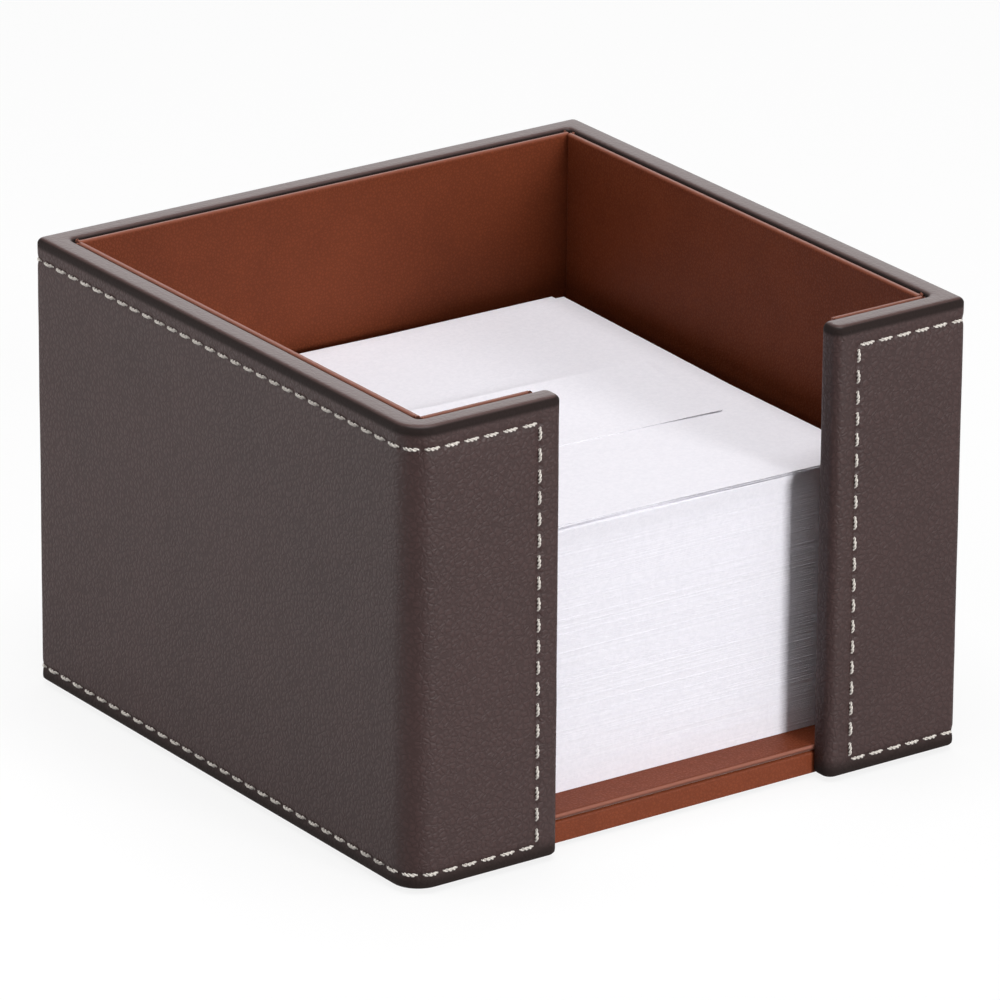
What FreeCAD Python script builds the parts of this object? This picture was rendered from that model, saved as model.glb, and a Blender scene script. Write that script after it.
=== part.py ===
"""Memo paper holder: an open box of fibreboard walls wrapped in dark stitched leatherette, lined with
tan panels, with a thumb slot down its front wall and a stack of loose memo sheets inside.

Millimetres. +Z is up, the slotted front wall faces -Y, and the origin is the middle of the felt's underside.
"""

import FreeCAD
import Part
import math
import os

Vector = FreeCAD.Vector
UP = Vector(0, 0, 1)

# Memo sheets, and the play round the stack inside the linings
SHEET_WIDTH = 88.0
SHEET_DEPTH = 88.0
SHEET_THICKNESS = 0.1
STACK_HEIGHT = 45.0
SIDE_PLAY = 4.1

# How far the paper lies off the middle of the well, as shares of the play
PAPER_SHIFT_X_SHARE = -0.34
PAPER_SHIFT_Y_SHARE = 0.2

# Top slip: a smaller note on the stack, by its margins inside a full sheet
SLIP_FROM_LEFT = 9.6
SLIP_FROM_RIGHT = 7.9
SLIP_FROM_FRONT = 29.5
SLIP_FROM_BACK = 34.0

# Turns of the stack, of the loose sheets on it (lowest first) and of the slip, as shares of the turn
# at which a full sheet in the middle of the well would touch the linings
STACK_TURN_SHARE = -0.11
LOOSE_SHEET_TURN_SHARES = (-0.17, -0.45, -0.06, -0.41)
SLIP_TURN_SHARE = -0.7

# Layers of a wall, from the outside in
COVER = 0.8
BOARD = 3.0
LINING_CARD = 0.9
LINING_SKIN = 0.4

# Layers of the bottom, from the desk up
FELT = 0.8
BASE_WRAP = 0.4
BASE_BOARD = 3.0
FLOOR_CARD = 0.7
FLOOR_SKIN = 0.4

# Wall height above the felt, and the front flaps on each side of the thumb slot
WALL_HEIGHT = 77.5
LEFT_FLAP = 28.8
RIGHT_FLAP = 26.2

# Leather that is turned over an edge and hidden under a panel
RIM_TURN_IN = 15.0
SLOT_TURN_IN = 12.0
BASE_TURN_IN = 14.0

# Panel fits
BASE_FIT = 0.1
LINING_DROP = 0.3
LINING_SETBACK = 3.0
FELT_INSET = 1.5

# Rounded corners of the boards under the leather: the front left one is the roundest
FRONT_LEFT_CORNER_RADIUS = 4.2
CORNER_RADIUS = 0.6

# Rounded edges: the leather's fold over the rim, and how much rounder it is down the slot edges
RIM_RADIUS = 1.2
SLOT_EDGE_EASE = 0.3
FOLD_LIMIT_SHARE = 0.4
FOOT_RADIUS = 0.6
WELL_CORNER_RADIUS = 0.6
PANEL_EDGE_RADIUS = 0.45
BASE_EDGE_RADIUS = 0.6
FELT_CORNER_RADIUS = 3.0

# Stitching on the cover: how far each seam runs from the edge beside it, and the thread
SEAM_FROM_RIM = 3.7
SEAM_FROM_FOOT = 2.5
SEAM_FROM_SLOT = 4.5
STITCH_PITCH = 3.65
STITCH_LENGTH_SHARE = 0.66
THREAD_RADIUS = 0.35

# How far a cutting body runs past what it cuts, and how near two heights count as one
OVERRUN = 5.0
SAME = 1e-4

# Heights
box_foot = FELT
base_top = box_foot + BASE_WRAP + BASE_BOARD + BASE_WRAP
floor_top = base_top + FLOOR_CARD + FLOOR_SKIN
rim_top = box_foot + WALL_HEIGHT
board_foot = box_foot + COVER
board_top = rim_top - COVER
stack_top = floor_top + STACK_HEIGHT

# Distances of the wall's layers from the middle, in X and in Y
lining_thickness = LINING_CARD + LINING_SKIN
well_x = SHEET_WIDTH / 2 + SIDE_PLAY
well_y = SHEET_DEPTH / 2 + SIDE_PLAY
turn_in_x = well_x + lining_thickness
turn_in_y = well_y + lining_thickness
board_in_x = turn_in_x + COVER
board_in_y = turn_in_y + COVER
board_out_x = board_in_x + BOARD
board_out_y = board_in_y + BOARD
face_x = board_out_x + COVER
face_y = board_out_y + COVER
base_x = board_in_x - BASE_FIT
base_y = board_in_y - BASE_FIT

# Folds of the leather, which its wall limits
rim_radius = min(RIM_RADIUS, FOLD_LIMIT_SHARE * (COVER + BOARD + COVER))
slot_edge_radius = rim_radius + SLOT_EDGE_EASE

# Where the paper's middle lies, and the turn, in degrees, that a full sheet has room for
paper_middle = Vector(PAPER_SHIFT_X_SHARE * SIDE_PLAY, PAPER_SHIFT_Y_SHARE * SIDE_PLAY, 0)
free_turn = math.degrees(math.atan2(SIDE_PLAY, max(SHEET_WIDTH, SHEET_DEPTH) / 2))

# Ways that the front, left, back and right walls face, and the corners between them, each as the wall
# before it, the wall after it and the radius of its boards
FRONT, LEFT, BACK, RIGHT = Vector(0, -1, 0), Vector(-1, 0, 0), Vector(0, 1, 0), Vector(1, 0, 0)
corners = (
    (FRONT, LEFT, FRONT_LEFT_CORNER_RADIUS),
    (LEFT, BACK, CORNER_RADIUS),
    (BACK, RIGHT, CORNER_RADIUS),
    (RIGHT, FRONT, CORNER_RADIUS),
)

# Sides of the thumb slot
slot_left = -face_x + LEFT_FLAP
slot_right = face_x - RIGHT_FLAP


def block(x, y, z):
    """A box from three (low, high) pairs."""
    return Part.makeBox(x[1] - x[0], y[1] - y[0], z[1] - z[0], Vector(x[0], y[0], z[0]))


def is_upright(edge):
    """True for a straight edge along Z."""
    ends = [v.Point for v in edge.Vertexes]
    return len(ends) == 2 and abs(ends[0].x - ends[1].x) < SAME and abs(ends[0].y - ends[1].y) < SAME


def upright_at(x, y):
    """A test for the upright edge at (x, y)."""
    return lambda edge: is_upright(edge) and edge.Vertexes[0].Point.distanceToLine(Vector(x, y), UP) < SAME


def at_height(z):
    """A test for edges that lie wholly at height z."""
    return lambda edge: all(abs(edge.valueAt(t).z - z) < SAME for t in edge.ParameterRange)


def rounded(shape, radius, wanted):
    """The shape with the edges that the test wants rounded off."""
    return shape.makeFillet(radius, [edge for edge in shape.Edges if wanted(edge)])


def rounded_block(x, y, z, radius):
    """A box whose four upright edges are rounded."""
    return rounded(block(x, y, z), radius, is_upright)


def rounded_walls(half_x, half_y, z, over_board):
    """A block as large as the walls, its corners rounded as the boards' are, plus the leather over them."""
    walls = block((-half_x, half_x), (-half_y, half_y), z)
    for before, after, radius in corners:
        side = before + after
        walls = rounded(walls, radius + over_board, upright_at(side.x * half_x, side.y * half_y))
    return walls


def open_tray(outer, inner, radius, wanted):
    """A thin skin: the outer box with chosen edges rounded, less the card or board that it wraps."""
    return rounded(outer, radius, wanted).cut(inner)


# Wall boards


def wall_board(x, y):
    """A wall board, with the box's rounded corners where it reaches one."""
    z = (board_foot, board_top)
    return block(x, y, z).common(rounded_walls(board_out_x, board_out_y, z, 0))


# Dark leather cover


def cover_envelope():
    """The leather wall as one thickness, with its rim, slot edges and the side that faces the lining."""
    outside = rounded_walls(face_x, face_y, (box_foot, rim_top), COVER)
    through = (box_foot - OVERRUN, rim_top + OVERRUN)
    well = rounded_block((-turn_in_x, turn_in_x), (-turn_in_y, turn_in_y), through, WELL_CORNER_RADIUS)
    slot = block((slot_left, slot_right), (-face_y - OVERRUN, -well_y), through)
    walls = outside.cut(well).cut(slot)
    slot_sides = (slot_left, slot_right)

    def beside_slot(edge):
        return is_upright(edge) and any(abs(edge.Vertexes[0].X - x) < SAME for x in slot_sides)

    walls = rounded(walls, slot_edge_radius, beside_slot)
    walls = rounded(walls, rim_radius, at_height(rim_top))
    return rounded(walls, FOOT_RADIUS, at_height(box_foot))


def outer_cover(boards):
    """One leather strip round all the walls, turned in over the rim and the slot edges and under the foot."""
    leather = cover_envelope()
    for board in boards:
        leather = leather.cut(board)
    bare = block(
        (-board_in_x, board_in_x),
        (-board_in_y, board_in_y),
        (box_foot - OVERRUN, rim_top - RIM_TURN_IN),
    )
    kept_by_slot = block(
        (slot_left - SLOT_TURN_IN, slot_right + SLOT_TURN_IN),
        (-board_in_y, -turn_in_y),
        (floor_top, rim_top),
    )
    return leather.cut(bare.cut(kept_by_slot))


# Tan lining panels


def lining(x, y, back):
    """A lining panel's card and tan skin. back is the wall side, where the card is bare, such as -x."""
    z = (floor_top, rim_top - LINING_DROP)
    card_spans = [[low + LINING_SKIN, high - LINING_SKIN] for low, high in (x, y, z)]
    axis = "xy".index(back[1])
    end = 1 if back[0] == "+" else 0
    wall_face = (x, y)[axis][end]
    card_spans[axis][end] = wall_face
    card = block(*card_spans)

    def faces_the_well(edge):
        return all(abs(vertex.Point[axis] - wall_face) > SAME for vertex in edge.Vertexes)

    return card, open_tray(block(x, y, z), card, PANEL_EDGE_RADIUS, faces_the_well)


# Bottom


def base():
    """The base board and the tan strip wrapped round it, turned in over the board's upper side."""
    x, y = (-base_x, base_x), (-base_y, base_y)
    board = block(
        (-base_x + BASE_WRAP, base_x - BASE_WRAP),
        (-base_y + BASE_WRAP, base_y - BASE_WRAP),
        (box_foot + BASE_WRAP, base_top - BASE_WRAP),
    )
    bare_top = block(
        (-base_x + BASE_TURN_IN, base_x - BASE_TURN_IN),
        (-base_y + BASE_TURN_IN, base_y - BASE_TURN_IN),
        (base_top - BASE_WRAP, base_top + OVERRUN),
    )
    wrap = open_tray(block(x, y, (box_foot, base_top)), board, BASE_EDGE_RADIUS, at_height(base_top))
    return board, wrap.cut(bare_top)


def floor():
    """The floor card that the paper lies on, and the tan skin over its top and edges."""
    card = block(
        (-base_x + FLOOR_SKIN, base_x - FLOOR_SKIN),
        (-base_y + FLOOR_SKIN, base_y - FLOOR_SKIN),
        (base_top, floor_top - FLOOR_SKIN),
    )
    panel = block((-base_x, base_x), (-base_y, base_y), (base_top, floor_top))
    return card, open_tray(panel, card, PANEL_EDGE_RADIUS, at_height(floor_top))


def felt():
    """The felt sheet under the base."""
    x = base_x - FELT_INSET
    y = base_y - FELT_INSET
    return rounded_block((-x, x), (-y, y), (0, FELT), FELT_CORNER_RADIUS)


# Stitching


def thread_section(seat, outward, across):
    """Half a round of thread with its flat side on the leather at seat."""
    tips = [seat - across * THREAD_RADIUS, seat + across * THREAD_RADIUS]
    bow = Part.Arc(tips[0], seat + outward * THREAD_RADIUS, tips[1]).toShape()
    return Part.Face(Part.Wire([bow, Part.makeLine(tips[1], tips[0])]))


def straight_seam(start, end, outward):
    """Evenly spaced stitches from start to end, on a flat side of the cover."""
    run = end - start
    count = max(1, round(run.Length / STITCH_PITCH))
    step = run / count
    stitch = step * STITCH_LENGTH_SHARE
    across = outward.cross(run).normalize()
    first = start + (step - stitch) / 2
    return [thread_section(first + step * i, outward, across).extrude(stitch) for i in range(count)]


def corner_seam(centre, middle, radius):
    """Evenly spaced stitches round an upright corner of the cover that faces the way of middle."""
    count = max(1, round(math.pi / 2 * radius / STITCH_PITCH))
    step = 90 / count
    stitch = step * STITCH_LENGTH_SHARE
    first = math.degrees(math.atan2(middle.y, middle.x)) - 45 + (step - stitch) / 2
    stitches = []
    for i in range(count):
        angle = math.radians(first + step * i)
        outward = Vector(math.cos(angle), math.sin(angle), 0)
        section = thread_section(centre + outward * radius, outward, UP)
        stitches.append(section.revolve(centre, UP, stitch))
    return stitches


def seam_round_the_walls(z):
    """A level seam from the left slot edge round all the walls and corners to the right slot edge."""
    at = Vector(slot_left - SEAM_FROM_SLOT, -face_y, z)
    end = Vector(slot_right + SEAM_FROM_SLOT, -face_y, z)
    stitches = []
    for before, after, board_radius in corners:
        radius = board_radius + COVER
        side = before + after
        corner = Vector(side.x * face_x, side.y * face_y, z)
        stitches += straight_seam(at, corner - after * radius, before)
        stitches += corner_seam(corner - side * radius, side, radius)
        at = corner - before * radius
    return Part.makeCompound(stitches + straight_seam(at, end, FRONT))


def seam_up_the_slot(x):
    """An upright seam beside the thumb slot."""
    low = Vector(x, -face_y, box_foot + SEAM_FROM_FOOT)
    high = Vector(x, -face_y, rim_top - SEAM_FROM_RIM)
    return Part.makeCompound(straight_seam(low, high, FRONT))


# Paper


def paper(z, turn_share):
    """A full sheet, or a stack of them, between two heights, turned by a share of its free turn."""
    half_x, half_y = SHEET_WIDTH / 2, SHEET_DEPTH / 2
    sheet = block((-half_x, half_x), (-half_y, half_y), z)
    sheet.rotate(Vector(0, 0, 0), UP, turn_share * free_turn)
    sheet.translate(paper_middle)
    return sheet


def loose_sheets():
    """The few sheets on top of the squared stack, each turned a little."""
    lows = [stack_top + i * SHEET_THICKNESS for i in range(len(LOOSE_SHEET_TURN_SHARES))]
    return Part.makeCompound(
        [paper((low, low + SHEET_THICKNESS), share) for low, share in zip(lows, LOOSE_SHEET_TURN_SHARES)]
    )


def top_slip():
    """The smaller slip that lies on the loose sheets."""
    low = stack_top + len(LOOSE_SHEET_TURN_SHARES) * SHEET_THICKNESS
    x = (-SHEET_WIDTH / 2 + SLIP_FROM_LEFT, SHEET_WIDTH / 2 - SLIP_FROM_RIGHT)
    y = (-SHEET_DEPTH / 2 + SLIP_FROM_FRONT, SHEET_DEPTH / 2 - SLIP_FROM_BACK)
    slip = block(x, y, (low, low + SHEET_THICKNESS))
    middle = Vector(sum(x) / 2, sum(y) / 2, 0)
    slip.rotate(middle, UP, SLIP_TURN_SHARE * free_turn)
    slip.translate(paper_middle)
    return slip


def make_parts():
    """Every piece of the holder by name."""
    parts = {
        "left_wall_board": wall_board((-board_out_x, -board_in_x), (-board_out_y, board_out_y)),
        "right_wall_board": wall_board((board_in_x, board_out_x), (-board_out_y, board_out_y)),
        "back_wall_board": wall_board((-board_in_x, board_in_x), (board_in_y, board_out_y)),
        "front_left_board": wall_board((-board_in_x, slot_left - COVER), (-board_out_y, -board_in_y)),
        "front_right_board": wall_board((slot_right + COVER, board_in_x), (-board_out_y, -board_in_y)),
    }
    parts["outer_cover"] = outer_cover(list(parts.values()))
    panel_end = turn_in_x - WELL_CORNER_RADIUS
    linings = {
        "left_lining": ((-turn_in_x, -well_x), (-well_y, well_y), "-x"),
        "right_lining": ((well_x, turn_in_x), (-well_y, well_y), "+x"),
        "back_lining": ((-panel_end, panel_end), (well_y, turn_in_y), "+y"),
        "front_left_lining": ((-panel_end, slot_left - LINING_SETBACK), (-turn_in_y, -well_y), "-y"),
        "front_right_lining": ((slot_right + LINING_SETBACK, panel_end), (-turn_in_y, -well_y), "-y"),
    }
    for name, (x, y, back) in linings.items():
        parts[name + "_card"], parts[name + "_skin"] = lining(x, y, back)
    parts["base_board"], parts["base_wrap"] = base()
    parts["floor_card"], parts["floor_skin"] = floor()
    parts["base_felt"] = felt()
    parts["rim_stitching"] = seam_round_the_walls(rim_top - SEAM_FROM_RIM)
    parts["foot_stitching"] = seam_round_the_walls(box_foot + SEAM_FROM_FOOT)
    parts["left_slot_stitching"] = seam_up_the_slot(slot_left - SEAM_FROM_SLOT)
    parts["right_slot_stitching"] = seam_up_the_slot(slot_right + SEAM_FROM_SLOT)
    parts["memo_stack"] = paper((floor_top, stack_top), STACK_TURN_SHARE)
    parts["loose_sheets"] = loose_sheets()
    parts["top_slip"] = top_slip()
    return parts


def main():
    os.makedirs("parts", exist_ok=True)
    for name, shape in make_parts().items():
        shape.exportStep(os.path.join("parts", name + ".step"))
        print(f"{name}: {len(shape.Solids)} solid(s), {shape.Volume:.1f} mm3, valid {shape.isValid()}")
    print(f"outside {2 * face_x:.1f} x {2 * face_y:.1f} x {rim_top:.1f}")
    print(f"well {2 * well_x:.1f} x {2 * well_y:.1f}, slot from {slot_left:.2f} to {slot_right:.2f}")
    print(f"floor at {floor_top:.2f}, stack to {stack_top:.2f}")


main()
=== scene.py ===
# %% [markdown]
# # Memo paper holder
# This desk box has fibreboard walls in dark brown leather, sewn round with cream thread, and tan panels
# inside. Loose white sheets lie in it, and a slot down the front wall lets a thumb take one. The packed
# model already gives every piece its place and its size. This lesson adds what the eye looks for: soft
# folds, thread that dives through its holes, paper that lies a little askew, and finishes made of shader
# nodes.

import bmesh
import bpy
import math
from mathutils import Matrix, Vector, noise


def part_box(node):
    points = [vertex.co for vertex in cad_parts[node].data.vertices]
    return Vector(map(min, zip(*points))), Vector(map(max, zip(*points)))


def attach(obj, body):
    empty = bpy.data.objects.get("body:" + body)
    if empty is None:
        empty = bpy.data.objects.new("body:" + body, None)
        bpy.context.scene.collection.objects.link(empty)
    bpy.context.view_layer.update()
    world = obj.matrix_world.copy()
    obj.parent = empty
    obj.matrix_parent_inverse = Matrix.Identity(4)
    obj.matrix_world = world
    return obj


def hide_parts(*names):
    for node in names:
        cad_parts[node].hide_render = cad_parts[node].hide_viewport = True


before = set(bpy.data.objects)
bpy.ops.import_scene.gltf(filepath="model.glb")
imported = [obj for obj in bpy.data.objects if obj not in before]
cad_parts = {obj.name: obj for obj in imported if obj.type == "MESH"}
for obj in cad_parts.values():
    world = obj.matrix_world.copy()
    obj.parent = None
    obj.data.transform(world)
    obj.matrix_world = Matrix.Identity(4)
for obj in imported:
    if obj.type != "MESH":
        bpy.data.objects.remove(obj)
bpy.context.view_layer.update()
MM = 0.001


def size_of(node):
    """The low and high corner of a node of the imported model, in millimetres."""
    low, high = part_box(node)
    return low / MM, high / MM


cover_low, cover_high = size_of("outer_cover")
print("the cover runs from", tuple(cover_low), "to", tuple(cover_high))

# %% [markdown]
# ## Camera
# The photograph was taken from the front left with a long lens, so upright edges stay almost parallel. A
# camera could be aimed with a Track To constraint, but here its three axes are worked out from two angles
# and a small roll, because a matrix says exactly where it looks and nothing has to be evaluated first.

# %% Camera
AZIMUTH = math.radians(-35.27)
ELEVATION = math.radians(21.26)
ROLL = math.radians(0.41)
CAMERA_PLACE = Vector((-0.7842, -1.1101, 0.5668))
toward_camera = Vector((math.sin(AZIMUTH), -math.cos(AZIMUTH), 0)) * math.cos(ELEVATION)
toward_camera.z = math.sin(ELEVATION)
level_right = Vector((math.cos(AZIMUTH), math.sin(AZIMUTH), 0))
level_up = toward_camera.cross(level_right)
camera_right = level_right * math.cos(ROLL) + level_up * math.sin(ROLL)
camera_up = level_up * math.cos(ROLL) - level_right * math.sin(ROLL)
camera = bpy.data.objects.new("camera", bpy.data.cameras.new("camera"))
bpy.context.scene.collection.objects.link(camera)
axes = Matrix((camera_right, camera_up, toward_camera)).transposed().to_4x4()
camera.matrix_world = Matrix.Translation(CAMERA_PLACE) @ axes
camera.data.sensor_width = 36
camera.data.lens = 322.7
camera.data.clip_end = 50
bpy.context.scene.camera = camera
print("camera", round(CAMERA_PLACE.length, 2), "metres away")

# %% [markdown]
# ## Node helpers
# Every finish and every repeated piece below is a node tree. Nodes can be placed by hand in the editor, and
# in a script each takes three or four lines. One helper that adds a node, sets it and wires it keeps the
# cells short.


# %% Node helpers
def add(tree, kind, inputs=None, **settings):
    """A new node with its settings. Each input is a plain value or the socket that feeds it."""
    made = tree.nodes.new(kind)
    for name, value in settings.items():
        setattr(made, name, value)
    for key, value in (inputs or {}).items():
        if isinstance(value, bpy.types.NodeSocket):
            tree.links.new(value, made.inputs[key])
        else:
            made.inputs[key].default_value = value
    return made


def calc(tree, operation, first, second=0.0):
    """The result of one Math node."""
    return add(tree, "ShaderNodeMath", {0: first, 1: second}, operation=operation).outputs[0]


def remap(tree, value, from_low, from_high, to_low, to_high):
    """A value carried smoothly from one range to another."""
    inputs = {0: value, 1: from_low, 2: from_high, 3: to_low, 4: to_high}
    return add(tree, "ShaderNodeMapRange", inputs, interpolation_type="SMOOTHSTEP").outputs[0]


def blend_colours(tree, factor, first, second):
    """A colour between two others."""
    inputs = {0: factor, 6: first, 7: second}
    return add(tree, "ShaderNodeMix", inputs, data_type="RGBA").outputs[2]


def new_group(kind, name, inputs, outputs):
    """An empty node group with named sockets, and its input and output nodes."""
    tree = bpy.data.node_groups.new(name, kind)
    for label, socket, value in inputs:
        made = tree.interface.new_socket(label, in_out="INPUT", socket_type=socket)
        if value is not None:
            made.default_value = value
    for label, socket in outputs:
        tree.interface.new_socket(label, in_out="OUTPUT", socket_type=socket)
    return tree, tree.nodes.new("NodeGroupInput").outputs, tree.nodes.new("NodeGroupOutput")


print("node helpers are ready")

# %% [markdown]
# ## Studio
# The picture shows a plain white table. A lamp almost straight in front lights the flaps and the paper's
# front, and as it stands a little to the right, the right flap throws a narrow shadow there. A wide lamp
# above lights the paper's top. One close on the left and a little behind grades the long side, and one
# behind gives the rims their shine. A white room alone is simpler, but leather looks flat in it. The table
# turns white for the camera by a share of its own glow, so it needs no extra light on the object and still
# keeps a soft shadow. Mirrored in the leather it glows less.

# %% Studio lamps
AIM = Vector((0, 0, 0.04))


def soft_lamp(name, azimuth, elevation, distance, width, height, watts):
    """A rectangular lamp aimed at the box. Azimuth 0 is straight in front, and positive is to the right."""
    side, rise = math.radians(azimuth), math.radians(elevation)
    away = Vector((math.sin(side) * math.cos(rise), -math.cos(side) * math.cos(rise), math.sin(rise)))
    data = bpy.data.lights.new(name, "AREA")
    data.shape = "RECTANGLE"
    data.size = width
    data.size_y = height
    data.energy = watts
    lamp = bpy.data.objects.new(name, data)
    lamp.location = AIM + away * distance
    lamp.rotation_euler = away.to_track_quat("Z", "Y").to_euler()
    bpy.context.scene.collection.objects.link(lamp)
    return lamp


lamps = [
    soft_lamp("front_lamp", azimuth=9, elevation=11, distance=1.3, width=0.28, height=0.35, watts=12.8),
    soft_lamp("overhead_lamp", azimuth=0, elevation=84, distance=1.2, width=0.9, height=0.9, watts=13.0),
    soft_lamp("left_lamp", azimuth=-112, elevation=14, distance=0.34, width=0.3, height=0.2, watts=0.51),
    soft_lamp("back_lamp", azimuth=145, elevation=24, distance=1.3, width=0.9, height=0.45, watts=2.2),
]
print("lamps:", [lamp.name for lamp in lamps])

# %% Studio table
GLOW_SHARE, MIRRORED_GLOW_SHARE = 0.84, 0.35
TABLE_BOUNCE, TABLE_SEEN, WHITE = (0.25, 0.25, 0.25, 1), (0.9, 0.9, 0.9, 1), (1, 1, 1, 1)
HALF_TABLE = 6


def seen_by_eye(tree):
    """1 for what the camera sees directly, in a gloss or through something clear, and 0 for other light."""
    path = add(tree, "ShaderNodeLightPath").outputs
    shiny = calc(tree, "MAXIMUM", path["Is Glossy Ray"], path["Is Transmission Ray"])
    return calc(tree, "MAXIMUM", path["Is Camera Ray"], shiny)


table_finish = bpy.data.materials.new("white_table")
table_finish.use_nodes = True
tree = table_finish.node_tree
tree.nodes.clear()
seen = seen_by_eye(tree)
pale = blend_colours(tree, seen, TABLE_BOUNCE, TABLE_SEEN)
matt = add(tree, "ShaderNodeBsdfDiffuse", {"Color": pale})
glow = add(tree, "ShaderNodeEmission", {"Color": WHITE, "Strength": 1.0})
mirrored = add(tree, "ShaderNodeLightPath").outputs["Is Glossy Ray"]
share = add(tree, "ShaderNodeMix", {0: mirrored, 2: GLOW_SHARE, 3: MIRRORED_GLOW_SHARE}).outputs[0]
share = calc(tree, "MULTIPLY", seen, share)
mixed = add(tree, "ShaderNodeMixShader", {0: share, 1: matt.outputs[0], 2: glow.outputs[0]})
add(tree, "ShaderNodeOutputMaterial", {"Surface": mixed.outputs[0]})
table_mesh = bpy.data.meshes.new("table")
table_corners = [(-HALF_TABLE, -HALF_TABLE, 0), (HALF_TABLE, -HALF_TABLE, 0)]
table_corners += [(HALF_TABLE, HALF_TABLE, 0), (-HALF_TABLE, HALF_TABLE, 0)]
table_mesh.from_pydata(table_corners, [], [(0, 1, 2, 3)])
table_mesh.materials.append(table_finish)
table = bpy.data.objects.new("table", table_mesh)
bpy.context.scene.collection.objects.link(table)
print("table", 2 * HALF_TABLE, "metres wide")

# %% Studio surroundings
LOW_WALL, HIGH_WALL = 0.15, 0.35
WALL_GLOW, CEILING_GLOW, ROOM_LIGHT = 0.9, 0.1, 0.09
world = bpy.data.worlds.new("studio")
bpy.context.scene.world = world
world.use_nodes = True
tree = world.node_tree
tree.nodes.clear()
way = add(tree, "ShaderNodeTexCoord").outputs["Generated"]
height = add(tree, "ShaderNodeSeparateXYZ", {0: way}).outputs["Z"]
wall_glow = remap(tree, height, LOW_WALL, HIGH_WALL, WALL_GLOW, CEILING_GLOW)
path = add(tree, "ShaderNodeLightPath").outputs
lit = add(tree, "ShaderNodeMix", {0: path["Is Glossy Ray"], 2: ROOM_LIGHT, 3: wall_glow}).outputs[0]
clear_view = calc(tree, "MAXIMUM", path["Is Camera Ray"], path["Is Transmission Ray"])
strength = calc(tree, "MAXIMUM", clear_view, lit)
sky = add(tree, "ShaderNodeBackground", {"Color": WHITE, "Strength": strength})
add(tree, "ShaderNodeOutputWorld", {"Surface": sky.outputs[0]})
bpy.context.scene.view_settings.view_transform = "Standard"
print("the surroundings are white")

# %% [markdown]
# ## Leather grain
# The leathers here are pressed with a fine pebble grain, the dark one coarser than the tan ones. The
# pebbles could be sculpted, but at a fraction of a millimetre they would take millions of faces. A node
# group makes them from a Voronoi texture, bent by noise so that no pebble looks ruled, and gives each
# leather its own grain size.

# %% Leather grain
WOBBLE, PEBBLE_EDGE = 0.9, 0.3
PEBBLE_SHARE, PORE_SHARE = 0.72, 0.28
sockets = [("Pebbles per metre", "NodeSocketFloat", 1000.0)]
results = [("Height", "NodeSocketFloat"), ("Mottle", "NodeSocketFloat")]
leather_grain, given, result = new_group("ShaderNodeTree", "leather grain", sockets, results)
tree = leather_grain
here = add(tree, "ShaderNodeTexCoord").outputs["Object"]
scaled = add(tree, "ShaderNodeVectorMath", {0: here, 3: given[0]}, operation="SCALE").outputs[0]
wobble = add(tree, "ShaderNodeTexNoise", {"Vector": scaled, "Scale": 0.8, "Detail": 1.0}).outputs["Color"]
pushed = {0: wobble, 1: (WOBBLE, WOBBLE, WOBBLE), 2: scaled}
pushed = add(tree, "ShaderNodeVectorMath", pushed, operation="MULTIPLY_ADD").outputs[0]
cells = {"Vector": pushed, "Scale": 1.0}
edge = add(tree, "ShaderNodeTexVoronoi", cells, feature="DISTANCE_TO_EDGE").outputs["Distance"]
pebble = remap(tree, edge, 0.0, PEBBLE_EDGE, 0.0, 1.0)
pores = add(tree, "ShaderNodeTexNoise", {"Vector": scaled, "Scale": 3.6, "Detail": 2.0}).outputs[0]
patches = {"Vector": scaled, "Scale": 0.06, "Detail": 4.0, "Roughness": 0.6}
mottle = add(tree, "ShaderNodeTexNoise", patches).outputs[0]
pebble_part = calc(tree, "MULTIPLY", pebble, PEBBLE_SHARE)
pore_part = calc(tree, "MULTIPLY", pores, PORE_SHARE)
tree.links.new(calc(tree, "ADD", pebble_part, pore_part), result.inputs["Height"])
tree.links.new(remap(tree, mottle, 0.3, 0.7, 0.0, 1.0), result.inputs["Mottle"])
print("leather grain has", len(tree.nodes), "nodes")

# %% [markdown]
# ## Dark and tan leather
# Leather that is pulled over a fold is stretched, so its pebbles flatten. Under the rim and along the foot
# the dark leather is painted nearly black, as painted shade, and made dull. On top of the rim it is
# painted lighter and warmer, as a painted highlight, and made shinier. The rolled edges of the tan panels
# are painted lighter too, as a painted highlight. The cover and the panels carry a number called fold, from
# 0 on the flat to 1 on top of a fold, and the finish reads it. The base's tan is a lighter copy of the tan
# leather, painted light. A fold mask from the mesh's curvature would also find the folds, but it changes
# with how finely a mesh is cut.

# %% Leather finishes
GRAIN_TONE_SHARE, MOTTLE_TONE_SHARE = 0.75, 0.25
# The first is the fold number where the painted fold shading is full, the third where the painted top
# highlight begins.
FOLD_PAINT_FULL, COATED, TOP_HIGHLIGHT_FROM = 0.75, 0.85, 0.9
PINCHED_ROUGHNESS, HOLLOW_ROUGHER = 0.85, 0.08
STRETCHED_GRAIN_SHARE, RIM_COAT = 0.35, 0.3


def new_finish(name):
    """A material with its node tree and its Principled shader."""
    finish = bpy.data.materials.new(name)
    finish.use_nodes = True
    return finish, finish.node_tree, finish.node_tree.nodes["Principled BSDF"]


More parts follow.
